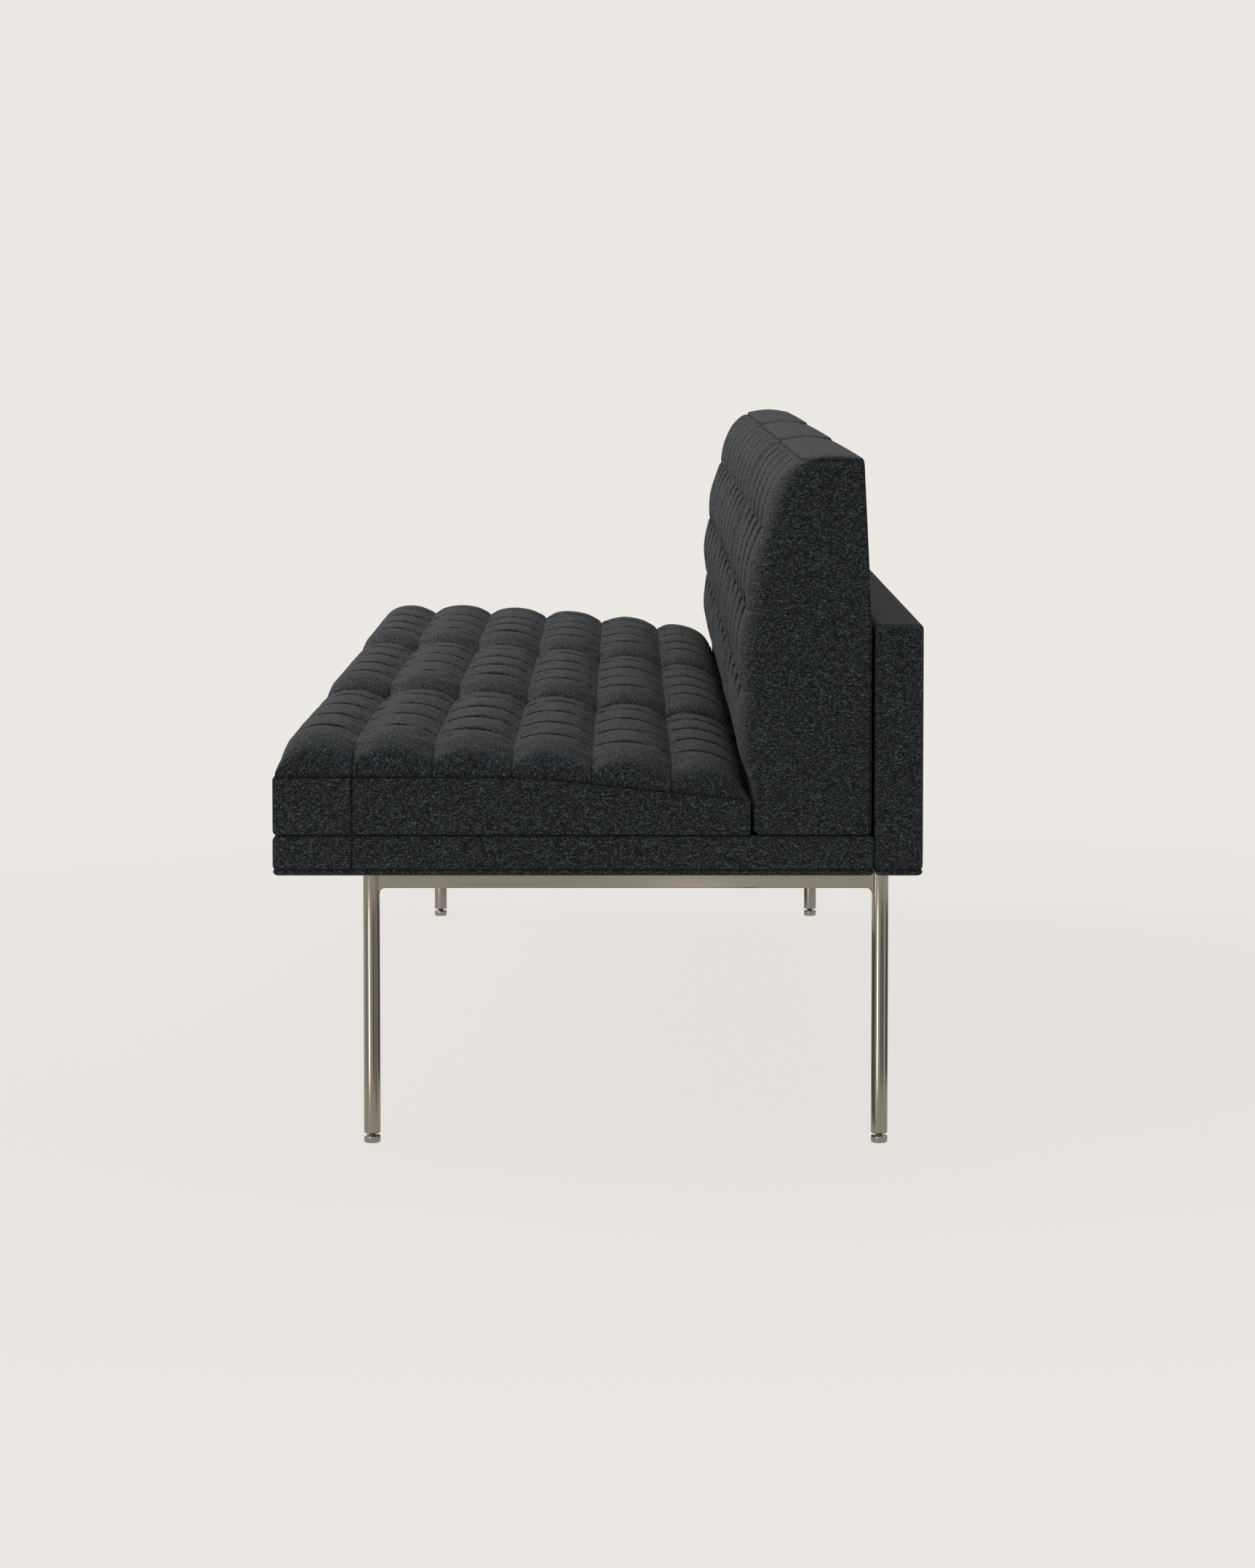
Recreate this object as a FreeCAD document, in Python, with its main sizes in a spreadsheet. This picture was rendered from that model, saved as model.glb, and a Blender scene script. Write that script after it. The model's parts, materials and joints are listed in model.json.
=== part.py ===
import FreeCAD, Part
import math
import os
import types

import Sketcher

# Armless three-seat modular sofa: tufted cushions on a thin upholstered base with a low back rail,
# carried by a slim steel under-frame on four levelling glides.
# Frame: X along the width, the front faces -Y, +Z up, origin on the floor under the middle.

# Driving dimensions in millimetres.
SIZES = {
    # Base and back rail, both covered in fabric over thin wadding
    "seat_pitch": 762,
    "base_depth": 658,
    "base_bottom": 328,
    "base_height": 44,
    "base_edge_radius": 6,
    "back_thickness": 53,
    "back_height": 276,
    "back_edge_radius": 6,
    "cover_thickness": 4.5,
    "base_turn_under": 20,
    "back_turn_under": 18,
    "dust_cover_thickness": 1,
    # Wooden base frame and its webbing
    "rail_thickness": 24,
    "cross_rail_width": 70,
    "cross_rail_height": 28,
    "corner_block_leg": 60,
    "corner_block_height": 24,
    "strap_width": 50,
    "strap_thickness": 2,
    # Wooden back frame and the bolts that join it to the base
    "panel_thickness": 6,
    "panel_lap": 10,
    "back_rail_height": 40,
    "post_width": 45,
    "bolt_diameter": 8,
    "bolt_head_width": 13,
    "bolt_head_height": 5.5,
    "bolt_offset": 40,
    "bolt_window": 24,
    "bolt_grip": 24,
    # Steel under-frame
    "leg_diameter": 19,
    "leg_chamfer": 0.8,
    "leg_inset_end": 186,
    "leg_inset_front": 98,
    "leg_inset_rear": 36.5,
    "leg_clear": 11,
    "bar_height": 36.5,
    "bar_thickness": 12,
    "bar_chamfer": 1.2,
    "weld_radius": 6,
    "weld_gap": 0.2,
    "end_tab_reach": 40,
    "long_tab_reach": 70,
    "tab_width": 40,
    "tab_thickness": 4,
    "bolt_clearance": 0.3,
    # Levelling glides
    "glide_diameter": 19,
    "glide_height": 8.5,
    "stem_diameter": 8,
    "stem_length": 36,
    "stem_clearance": 0.3,
    "stem_end_room": 6,
    # Cushions
    "cushion_gap": 2,
    "cushion_seat": 0.3,
    "cushion_edge": 4,
    "tuft_swell": 7,
    "tuft_lift": 3,
    "tuft_fade": 20,
    "crown_run": 95,
    "front_crown_run": 42,
    "back_crown_run": 60,
    "seat_back_gap": 4,
    "seat_rear_lean": 8,
    "seat_border": 65.5,
    "seat_fall": 26,
    "seat_fall_run": 243,
    "seat_crown": 30,
    "seat_sink": 8,
    "seat_sink_start": 150,
    "seat_sink_run": 120,
    "border_swell": 2.5,
    "back_foot_depth": 128.5,
    "back_clearance": 2.5,
    "back_cushion_height": 412,
    "back_sweep": 46,
    "back_sweep_height": 236,
    "back_rear_lean": 9,
    "back_top_radius": 16,
    "back_crown": 9,
    "back_top_swell": 4,
    "back_row_pitch": 88,
    "back_top_row": 80,
    "core_margin": 40,
    "core_wrap": 12,
    "core_clearance": 0.3,
}

SEATS = ("left", "middle", "right")
SIDES = {"left": -1, "right": 1}
STRAPS_PER_SEAT = 5
TUFT_COLUMNS = 5
SEAT_TUFT_ROWS = 6
BACK_TUFT_ROWS = 5
# Form of a tuft from seam to seam, as (share of its pitch, share of its height)
TUFT_FORM = ((0.0, 0.0), (0.24, 1.0), (0.76, 1.0))
# Two places closer than this are the same place.
TOUCHING = 1e-6


class Length:
    """A number of millimetres that keeps its formula over the sheet's cells."""

    def __init__(self, number, text):
        self.number = float(number)
        self.text = text

    def __add__(self, other):
        other = as_length(other)
        return Length(self.number + other.number, f"({self.text} + {other.text})")

    def __sub__(self, other):
        other = as_length(other)
        return Length(self.number - other.number, f"({self.text} - {other.text})")

    def __mul__(self, factor):
        return Length(self.number * factor, f"({self.text} * {factor})")

    def __truediv__(self, divisor):
        return Length(self.number / divisor, f"({self.text} / {divisor})")

    def __neg__(self):
        return Length(-self.number, f"(0 - {self.text})")


def as_length(value):
    """Return a plain number as a Length, and a Length as it is."""
    return value if isinstance(value, Length) else Length(value, str(value))


def smaller(first, second):
    """Return the smaller of two Lengths, also after a change of size."""
    return Length(min(first.number, second.number), f"min({first.text}; {second.text})")


doc = FreeCAD.newDocument("modular_sofa")
sheet = doc.addObject("Spreadsheet::Sheet", "Sizes")
for row, (alias, value) in enumerate(SIZES.items(), start=1):
    sheet.set(f"A{row}", alias)
    sheet.set(f"B{row}", str(value))
    sheet.setAlias(f"B{row}", alias)
doc.recompute()
size = types.SimpleNamespace(**{alias: Length(sheet.get(alias), f"Sizes.{alias}") for alias in SIZES})

nodes = []


def keep(item, name):
    """Make a document object one of the sofa's pieces."""
    item.Label = name
    nodes.append(item)
    return item


def bind(item, prop, length):
    """Tie a property to a formula over the sheet."""
    item.setExpression(prop, as_length(length).text)


def place(item, x, y, z, turn=0, tip=None):
    """Put an object at a bound point, turned about Z by degrees or tipped by a rotation."""
    item.Placement.Rotation = tip or FreeCAD.Rotation(FreeCAD.Vector(0, 0, 1), turn)
    for axis, length in zip("xyz", (x, y, z)):
        bind(item, f"Placement.Base.{axis}", length)
    return item


def block(name, x, y, z):
    """A Part box between bound (low, high) pairs along X, Y and Z."""
    box = doc.addObject("Part::Box", name)
    for prop, (low, high) in zip(("Length", "Width", "Height"), (x, y, z)):
        bind(box, prop, as_length(high) - low)
    return place(box, x[0], y[0], z[0])


ALONG_Y = FreeCAD.Rotation(FreeCAD.Vector(1, 0, 0), -90)


def rod(name, x, y, z, diameter, length, tip=None):
    """A Part cylinder from a bound point, along Z unless it is tipped."""
    cylinder = doc.addObject("Part::Cylinder", name)
    bind(cylinder, "Radius", diameter / 2)
    bind(cylinder, "Height", length)
    return place(cylinder, x, y, z, tip=tip)


def group(name, items):
    """Several separate solids in one object."""
    compound = doc.addObject("Part::Compound", name)
    compound.Links = items
    return compound


def cut(name, base, tool):
    """One object less another."""
    result = doc.addObject("Part::Cut", name)
    result.Base = base
    result.Tool = tool
    return result


def fuse(name, items):
    """Objects that overlap or touch, joined into one solid."""
    result = doc.addObject("Part::MultiFuse", name)
    result.Shapes = items
    return result


def new_body(name, x, y, z, turn=0):
    """A PartDesign body at a bound point."""
    return place(doc.addObject("PartDesign::Body", name), x, y, z, turn)


def new_sketch(body, plane, lift=None):
    """A sketch on one of the body's own origin planes, lifted along the plane's normal."""
    sketch = body.newObject("Sketcher::SketchObject", f"{body.Name}_sketch")
    support = next(item for item in body.Origin.OriginFeatures if item.Role == plane)
    sketch.AttachmentSupport = [(support, "")]
    sketch.MapMode = "FlatFace"
    if lift is not None:
        bind(sketch, "AttachmentOffset.Base.z", lift)
    return sketch


def bind_point(sketch, edge, end, point):
    """Tie an edge's start, end or centre to a bound point of the sketch plane."""
    for kind, length in zip(("DistanceX", "DistanceY"), point):
        length = as_length(length)
        index = sketch.addConstraint(Sketcher.Constraint(kind, -1, 1, edge, end, length.number))
        sketch.renameConstraint(index, f"{kind}_{edge}_{end}")
        bind(sketch, f"Constraints.{kind}_{edge}_{end}", length)


def draw_outline(sketch, points, centres=None):
    """A closed outline through bound points; centres gives {edge number: centre} for quarter arcs."""
    centres = centres or {}
    flat = [FreeCAD.Vector(as_length(x).number, as_length(y).number, 0) for x, y in points]
    first = sketch.GeometryCount
    ends = []
    for index, start in enumerate(flat):
        finish = flat[(index + 1) % len(flat)]
        if index not in centres:
            sketch.addGeometry(Part.LineSegment(start, finish))
            ends.append((1, 2))
            continue
        hub = FreeCAD.Vector(*(as_length(value).number for value in centres[index]), 0)
        circle = Part.Circle(hub, FreeCAD.Vector(0, 0, 1), (start - hub).Length)
        angles = [math.atan2(spot.y - hub.y, spot.x - hub.x) for spot in (start, finish)]
        anticlockwise = (start - hub).cross(finish - hub).z > 0
        sketch.addGeometry(Part.ArcOfCircle(circle, *(angles if anticlockwise else angles[::-1])))
        ends.append((1, 2) if anticlockwise else (2, 1))
    for index, (start_end, finish_end) in enumerate(ends):
        following = (index + 1) % len(ends)
        sketch.addConstraint(Sketcher.Constraint(
            "Coincident", first + index, finish_end, first + following, ends[following][0]))
        bind_point(sketch, first + index, start_end, points[index])
    for index, centre in centres.items():
        # One coordinate of the centre is enough, since both ends of the arc are tied.
        length = as_length(centre[0])
        constraint = sketch.addConstraint(
            Sketcher.Constraint("DistanceX", -1, 1, first + index, 3, length.number))
        sketch.renameConstraint(constraint, f"centre_{first + index}")
        bind(sketch, f"Constraints.centre_{first + index}", length)
    return sketch


def draw_rectangle(sketch, x, y):
    """A rectangle between bound (low, high) pairs."""
    return draw_outline(sketch, [(x[0], y[0]), (x[1], y[0]), (x[1], y[1]), (x[0], y[1])])


def draw_circles(sketch, centres, diameter):
    """Circles of one bound diameter at bound centres."""
    for centre in centres:
        middle = FreeCAD.Vector(*(as_length(value).number for value in centre), 0)
        circle = Part.Circle(middle, FreeCAD.Vector(0, 0, 1), diameter.number / 2)
        edge = sketch.addGeometry(circle)
        bind_point(sketch, edge, 3, centre)
        index = sketch.addConstraint(Sketcher.Constraint("Diameter", edge, diameter.number))
        sketch.renameConstraint(index, f"diameter_{edge}")
        bind(sketch, f"Constraints.diameter_{edge}", diameter)
    return sketch


def pad(body, sketch, length, symmetric=False):
    """Raise a sketch into a solid."""
    feature = body.newObject("PartDesign::Pad", f"{body.Name}_pad")
    feature.Profile = sketch
    feature.SideType = "Symmetric" if symmetric else "One side"
    bind(feature, "Length", length)
    doc.recompute()
    return feature


def pocket(body, sketch, length, forwards=False):
    """Cut a sketch into the body, against its normal or forwards along it."""
    before = body.Shape.Volume
    feature = body.newObject("PartDesign::Pocket", f"{body.Name}_pocket")
    feature.Profile = sketch
    feature.Reversed = forwards
    bind(feature, "Length", length)
    doc.recompute()
    if body.Shape.Volume >= before:
        raise RuntimeError(f"{body.Name}: a pocket removes nothing")
    return feature


def turned(name, x, y, z, outline):
    """A piece turned about its own upright axis, from a half section of (radius, height) points."""
    body = new_body(name, x, y, z)
    sketch = draw_outline(new_sketch(body, "XZ_Plane"), outline)
    feature = body.newObject("PartDesign::Revolution", f"{name}_turned")
    feature.Profile = sketch
    feature.ReferenceAxis = (sketch, ["V_Axis"])
    feature.Angle = 360
    doc.recompute()
    return keep(body, name)


def chamfer(body, amount, wanted):
    """Chamfer the edges of the body's last feature for which wanted(edge) is true."""
    last = body.Tip
    names = [f"Edge{i}" for i, edge in enumerate(last.Shape.Edges, start=1) if wanted(edge)]
    if not names:
        raise RuntimeError(f"{body.Name}: no edge to chamfer")
    feature = body.newObject("PartDesign::Chamfer", f"{body.Name}_chamfer")
    feature.Base = (last, names)
    bind(feature, "Size", amount)
    doc.recompute()
    return feature


# Places that several pieces share
half_width = size.seat_pitch * (len(SEATS) / 2)
front = (size.base_depth + size.back_thickness) / -2
rear = (size.base_depth + size.back_thickness) / 2
joint_plane = front + size.base_depth
base_top = size.base_bottom + size.base_height
back_top = size.base_bottom + size.back_height
frame_bottom = size.base_bottom + size.cover_thickness
frame_half = half_width - size.cover_thickness
frame_front = front + size.cover_thickness
frame_rear = joint_plane - size.cover_thickness
deck_under = base_top - size.cover_thickness
frame_top = deck_under - size.strap_thickness
inner_front = frame_front + size.rail_thickness
inner_rear = frame_rear - size.rail_thickness
inner_half = frame_half - size.rail_thickness
leg_x = half_width - size.leg_inset_end
leg_y = {"front": front + size.leg_inset_front, "rear": rear - size.leg_inset_rear}
bar_bottom = size.base_bottom - size.bar_height
bar_face = size.bar_thickness / 2
cross_half = size.cross_rail_width / 2
cross_x = {"outer": leg_x - bar_face - size.end_tab_reach / 2, "inner": size.seat_pitch / 2}
bolt_z = size.base_bottom + size.base_height / 2
bolt_x = [
    (x + cross_half + size.bolt_offset) * side for side in SIDES.values() for x in cross_x.values()
]
bolt_hole = size.bolt_diameter + size.bolt_clearance * 2
back_rear = joint_plane - size.back_clearance
back_foot = back_rear - size.back_foot_depth
seat_depth = back_foot - size.seat_back_gap - front


def bolt_holes(name, y, length):
    """Level holes for the back bolts, from y backwards."""
    return group(name, [
        rod(f"{name}_{i}", x, y, bolt_z, bolt_hole, length, ALONG_Y) for i, x in enumerate(bolt_x)
    ])


def make_legs():
    """Round steel legs, bored from below for the glides' stems."""
    bore = size.stem_diameter / 2 + size.stem_clearance
    bore_depth = size.glide_height + size.stem_length + size.stem_end_room - size.leg_clear
    radius = size.leg_diameter / 2
    height = size.base_bottom - size.leg_clear
    outline = [
        (bore, 0),
        (radius - size.leg_chamfer, 0),
        (radius, size.leg_chamfer),
        (radius, height),
        (0, height),
        (0, bore_depth),
        (bore, bore_depth),
    ]
    for end, y in leg_y.items():
        for side, sign in SIDES.items():
            turned(f"leg_{end}_{side}", leg_x * sign, y, size.leg_clear, outline)


def make_glides():
    """Levelling glides: a round pad turned in one piece with its stem."""
    pad_radius = size.glide_diameter / 2
    stem = size.stem_diameter / 2
    tip = size.glide_height + size.stem_length
    outline = [
        (0, 0),
        (pad_radius, 0),
        (pad_radius, size.glide_height),
        (stem, size.glide_height),
        (stem, tip),
        (0, tip),
    ]
    for end, y in leg_y.items():
        for side, sign in SIDES.items():
            turned(f"glide_{end}_{side}", leg_x * sign, y, 0, outline)


def make_bar(name, x, y, length, turn):
    """Flat bar from leg axis to leg axis, coped round both legs, with a weld's sweep under each end."""
    body = new_body(name, x, y, bar_bottom, turn)
    leg = size.leg_diameter / 2
    weld = size.weld_radius
    outline = [
        (0, size.bar_height),
        (0, -weld),
        (leg, -weld),
        (leg + weld, 0),
        (length - leg - weld, 0),
        (length - leg, -weld),
        (length, -weld),
        (length, size.bar_height),
    ]
    centres = {2: (leg + weld, -weld), 4: (length - leg - weld, -weld)}
    pad(body, draw_outline(new_sketch(body, "XZ_Plane"), outline, centres), size.bar_thickness, True)
    depth = -weld.number

    def is_lower_edge(edge):
        box = edge.BoundBox
        lies_in_face = box.YLength < TOUCHING
        return lies_in_face and depth - TOUCHING < box.ZMin and abs(box.ZMax) < TOUCHING

    chamfer(body, size.bar_chamfer, is_lower_edge)
    cope = draw_circles(
        new_sketch(body, "XY_Plane", size.bar_height),
        [(0, 0), (length, 0)],
        size.leg_diameter + size.weld_gap * 2)
    pocket(body, cope, size.bar_height + weld)
    return keep(body, name)


def make_bars():
    """Two end rails that show between the legs, and two long rails."""
    span_y = leg_y["rear"] - leg_y["front"]
    for side, sign in SIDES.items():
        make_bar(f"under_rail_{side}", leg_x * sign, leg_y["front"], span_y, 90)
    for end, y in leg_y.items():
        make_bar(f"under_rail_{end}", -leg_x, y, leg_x * 2, 0)


def make_mounting_tabs():
    """Plates welded inside the bars, which carry the base's cross rails."""
    tab_z = (size.base_bottom - size.tab_thickness, size.base_bottom)
    half = size.tab_width / 2
    middle_y = (leg_y["front"] + leg_y["rear"]) / 2
    tabs = []
    for sign in SIDES.values():
        near, far = (leg_x - bar_face) * sign, (leg_x - bar_face - size.end_tab_reach) * sign
        reach = (far, near) if sign > 0 else (near, far)
        tabs.append(block("end_tab", reach, (middle_y - half, middle_y + half), tab_z))
        x = cross_x["inner"] * sign
        across = (x - half, x + half)
        front_face = leg_y["front"] + bar_face
        rear_face = leg_y["rear"] - bar_face
        for reach in ((front_face, front_face + size.long_tab_reach),
                      (rear_face - size.long_tab_reach, rear_face)):
            tabs.append(block("long_tab", across, reach, tab_z))
    keep(group("mounting_tabs", tabs), "mounting_tabs")


def make_base_frame():
    """Wooden rails, cross rails and corner blocks of the base."""
    upright = (frame_bottom, frame_top)
    across = (-frame_half, frame_half)
    between = (inner_front, inner_rear)
    keep(block("base_front_rail", across, (frame_front, inner_front), upright), "base_front_rail")
    blank = block("rear_rail_blank", across, (inner_rear, frame_rear), upright)
    holes = bolt_holes("rear_rail_hole", inner_rear, size.rail_thickness)
    keep(cut("base_rear_rail", blank, holes), "base_rear_rail")
    cross_z = (size.base_bottom, size.base_bottom + size.cross_rail_height)
    for side, sign in SIDES.items():
        ends = (inner_half, frame_half) if sign > 0 else (-frame_half, -inner_half)
        keep(block(f"base_end_rail_{side}", ends, between, upright), f"base_end_rail_{side}")
        for which in cross_x:
            name = f"base_cross_rail_{side}_{which}"
            x = cross_x[which] * sign
            keep(block(name, (x - cross_half, x + cross_half), between, cross_z), name)
    corners = []
    for turn, x, y in ((0, -inner_half, inner_front), (90, inner_half, inner_front),
                       (180, inner_half, inner_rear), (270, -inner_half, inner_rear)):
        wedge = doc.addObject("Part::Wedge", "corner_block")
        wedge.Xmin = wedge.Ymin = wedge.Zmin = wedge.X2min = wedge.X2max = wedge.Z2min = 0
        for prop in ("Xmax", "Ymax"):
            bind(wedge, prop, size.corner_block_leg)
        for prop in ("Zmax", "Z2max"):
            bind(wedge, prop, size.corner_block_height)
        corners.append(place(wedge, x, y, frame_bottom, turn))
    keep(group("base_corner_blocks", corners), "base_corner_blocks")


def make_webbing():
    """Elastic straps from the front rail to the rear rail, under the deck."""
    straps = []
    spacing = size.seat_pitch / STRAPS_PER_SEAT
    half = size.strap_width / 2
    for index in range(len(SEATS) * STRAPS_PER_SEAT):
        middle = spacing * (index + 0.5) - half_width
        straps.append(block("strap", (middle - half, middle + half),
                            (frame_front, frame_rear), (frame_top, deck_under)))
    keep(group("seat_webbing", straps), "seat_webbing")


def make_cover(name, y, depth, height, radius, hem, windows_behind):
    """Fabric shell round a frame: rounded along its edges, turned under, open where the bolts pass."""
    wall = size.cover_thickness
    width = half_width * 2
    soft = smaller(radius, wall * 3)
    body = new_body(name, -half_width, y, size.base_bottom)
    outline = [
        (soft, 0),
        (depth - soft, 0),
        (depth, soft),
        (depth, height - soft),
        (depth - soft, height),
        (soft, height),
        (0, height - soft),
        (0, soft),
    ]
    centres = {
        1: (depth - soft, soft),
        3: (depth - soft, height - soft),
        5: (soft, height - soft),
        7: (soft, soft),
    }
    pad(body, draw_outline(new_sketch(body, "YZ_Plane"), outline, centres), width)
    hollow = draw_rectangle(
        new_sketch(body, "XY_Plane", wall), (wall, width - wall), (wall, depth - wall))
    pocket(body, hollow, height - wall * 2, forwards=True)
    opening = draw_rectangle(new_sketch(body, "XY_Plane"), (hem, width - hem), (hem, depth - hem))
    pocket(body, opening, wall, forwards=True)
    # The covers are cut away round each bolt.
    windows = new_sketch(body, "XZ_Plane", -depth if windows_behind else None)
    half = size.bolt_window / 2
    middle = bolt_z - size.base_bottom
    for bolt in bolt_x:
        x = bolt + half_width
        draw_rectangle(windows, (x - half, x + half), (middle - half, middle + half))
    pocket(body, windows, wall, forwards=windows_behind)
    return keep(body, name)


def make_dust_cover():
    """Cloth stapled under the rails, in panels between the cross rails."""
    hem = size.base_turn_under
    inner, outer = cross_x["inner"], cross_x["outer"]
    spans = [(-(inner - cross_half), inner - cross_half)]
    for low, high in ((inner + cross_half, outer - cross_half), (outer + cross_half, half_width - hem)):
        spans += [(low, high), (-high, -low)]
    sheet_z = (frame_bottom - size.dust_cover_thickness, frame_bottom)
    panels = [block("dust_cloth", span, (front + hem, joint_plane - hem), sheet_z) for span in spans]
    keep(group("dust_cover", panels), "dust_cover")


def make_back_frame():
    """Wooden frame of the back rail, its plywood face, and the bolts that hold it to the base."""
    wall = size.cover_thickness
    panel_y = (joint_plane + wall, joint_plane + wall + size.panel_thickness)
    wood_y = (panel_y[1], rear - wall)
    low = frame_bottom
    high = back_top - wall
    across = (-frame_half, frame_half)
    lower_z = (low, low + size.back_rail_height)
    upper_z = (high - size.back_rail_height, high)

    blank = block("lower_rail_blank", across, wood_y, lower_z)
    bores = bolt_holes("lower_rail_bore", wood_y[0], size.bolt_grip + size.bolt_clearance)
    keep(cut("back_bottom_rail", blank, bores), "back_bottom_rail")
    keep(block("back_top_rail", across, wood_y, upper_z), "back_top_rail")

    post_z = (lower_z[1], upper_z[0])
    for side, sign in SIDES.items():
        half = size.post_width / 2
        for which, middle in (("end", frame_half - half), ("inner", size.seat_pitch / 2)):
            name = f"back_post_{side}_{which}"
            x = middle * sign
            keep(block(name, (x - half, x + half), wood_y, post_z), name)

    keep(block("back_panel", across, panel_y, (lower_z[1] - size.panel_lap, high)), "back_panel")

    bolts = []
    for x in bolt_x:
        head = doc.addObject("Part::Prism", "bolt_head")
        head.Polygon = 6
        bind(head, "Circumradius", size.bolt_head_width / math.sqrt(3))
        bind(head, "Height", size.bolt_head_height)
        place(head, x, inner_rear - size.bolt_head_height, bolt_z, tip=ALONG_Y)
        shank = rod("bolt_shank", x, inner_rear, bolt_z, size.bolt_diameter,
                    wood_y[0] + size.bolt_grip - inner_rear, ALONG_Y)
        bolts.append(fuse("bolt", [head, shank]))
    keep(group("back_bolts", bolts), "back_bolts")


def tuft_stops(start, finish, count):
    """Places over some tufts from start to finish, each with its share of a tuft's height."""
    pitch = (finish - start) / count
    stops = [(start + pitch * (index + along), height)
             for index in range(count) for along, height in TUFT_FORM]
    return stops + [(finish, 0.0)]


def share(distance, run):
    """How far a distance goes along a run, from 0 to 1."""
    return min(1.0, max(0.0, distance) / run.number)


def crown(distance, run):
    """Rise of a cushion's crown, a quarter ellipse from 0 at its border to 1 at the end of the run."""
    return math.sqrt(1 - (1 - share(distance, run)) ** 2)


def fade(distance):
    """Share of the tufts' height left near a cushion's border."""
    return share(distance, size.tuft_fade)


def tufted_solid(section):
    """Ruled loft along X through the sections across one cushion's tufts."""
    width = size.seat_pitch.number - size.cushion_gap.number
    edge = size.cushion_edge.number
    stops = tuft_stops(0.0, width, TUFT_COLUMNS) + [(edge, 0.0), (width - edge, 0.0)]
    wires = []
    for x, tuft in sorted(stops):
        points = section(min(x, width - x), tuft)
        if x in (0.0, width):
            points = shrunk(points, edge)
        spots = [FreeCAD.Vector(x - width / 2, y, z) for y, z in points]
        wires.append(Part.makePolygon(spots + spots[:1]))
    return Part.makeLoft(wires, True, True)


def shrunk(points, amount):
    """The points drawn in towards their middle by an amount, for a cushion's rounded end."""
    drawn = []
    for values in zip(*points):
        low, high = min(values), max(values)
        middle = (low + high) / 2
        factor = 1 - 2 * amount / (high - low)
        drawn.append([middle + (value - middle) * factor for value in values])
    return list(zip(*drawn))


def seat_section(distance, tuft):
    """Section of a seat cushion at a distance from its end; tuft is 0 in a seam, 1 on a crest."""
    low = base_top.number + size.cushion_seat.number
    seam = low + size.seat_border.number
    depth = seat_depth.number
    fall_start = depth - size.seat_fall_run.number
    inset = size.border_swell.number
    top = []
    for y, dome in tuft_stops(0.0, depth, SEAT_TUFT_ROWS):
        border = seam - size.seat_fall.number * share(y - fall_start, size.seat_fall_run)
        side = min(y, depth - y)
        sink = size.seat_sink.number * share(y - size.seat_sink_start.number, size.seat_sink_run)
        rise = crown(distance, size.crown_run) * (size.seat_crown.number - sink)
        rise *= crown(y, size.front_crown_run) * crown(depth - y, size.crown_run)
        puff = size.tuft_lift.number * tuft + size.tuft_swell.number * dome
        # The rear border leans forward, clear of the back cushion's swell.
        along = min(max(y, inset), depth - size.seat_rear_lean.number)
        top.append((along, border + rise + fade(distance) * fade(side) * puff))
    points = [(0.0, (low + seam) / 2), (inset, low), (depth, low)] + top[::-1]
    return [(front.number + y, z) for y, z in points]


def back_section(distance, tuft):
    """Section of a back cushion at a distance from its end; tuft is 0 in a seam, 1 on a crest."""
    low = base_top.number + size.cushion_seat.number
    high = low + size.back_cushion_height.number
    rear_foot = back_rear.number
    foot = back_foot.number
    bend = high - size.back_sweep_height.number
    corner = size.back_top_radius.number
    bite = corner * (1 - math.sqrt(0.5))
    rear_top = rear_foot - size.back_rear_lean.number
    # Below this height the seat cushion holds the face flat.
    held = low + size.seat_border.number

    def face(z, dome):
        sweep = size.back_sweep.number * (max(0.0, z - bend) / size.back_sweep_height.number) ** 2
        run = size.back_crown_run
        rise = crown(distance, run) * crown(high - z, run) * crown(z - held, run) * size.back_crown.number
        puff = size.tuft_lift.number * tuft + size.tuft_swell.number * dome
        return foot + sweep - rise - fade(distance) * fade(high - z) * fade(z - held) * puff

    seams = [high - size.back_top_row.number - size.back_row_pitch.number * index
             for index in range(BACK_TUFT_ROWS - 1)]
    borders = [high] + seams + [low]
    face_points = []
    for upper, lower in zip(borders, borders[1:]):
        face_points += [(face(z, dome), z) for z, dome in tuft_stops(upper, lower, 1)[:-1]]
    top_swell = crown(distance, size.back_crown_run) * size.back_top_swell.number
    top = [
        (rear_top, high - corner),
        (rear_top - bite, high - bite),
        (rear_top - corner, high),
        ((rear_top - corner + foot + size.back_sweep.number) / 2, high + top_swell),
    ]
    return [(foot, low), (rear_foot, low)] + top + face_points


def core_outlines():
    """Bound (y, z) outlines of the foam cores, well inside the cushions."""
    low = base_top + size.cushion_seat
    seam = low + size.seat_border
    wrap = size.core_wrap
    margin = size.core_margin
    fall_start = front + seat_depth - size.seat_fall_run
    seat = [
        (front + margin, low + wrap),
        (front + seat_depth - margin, low + wrap),
        (front + seat_depth - margin, seam - size.seat_fall),
        (fall_start, seam),
        (front + margin, seam),
    ]
    rear_foot = back_rear - wrap
    foot = back_foot + wrap
    high = low + size.back_cushion_height - margin
    back = [
        (foot, low + wrap),
        (rear_foot, low + wrap),
        (rear_foot - size.back_rear_lean, high),
        (foot + size.back_sweep, high),
        (foot, low + size.back_cushion_height - size.back_sweep_height),
    ]
    return {"seat": seat, "back": back}


def core_cavity(outline, half_length):
    """The hollow for a foam core: its outline grown by the core's clearance."""
    spots = [FreeCAD.Vector(-half_length, y.number, z.number) for y, z in outline]
    face = Part.Face(Part.makePolygon(spots + spots[:1]))
    grown = face.makeOffset2D(size.core_clearance.number, 2)
    return grown.extrude(FreeCAD.Vector(half_length * 2, 0, 0))


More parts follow.
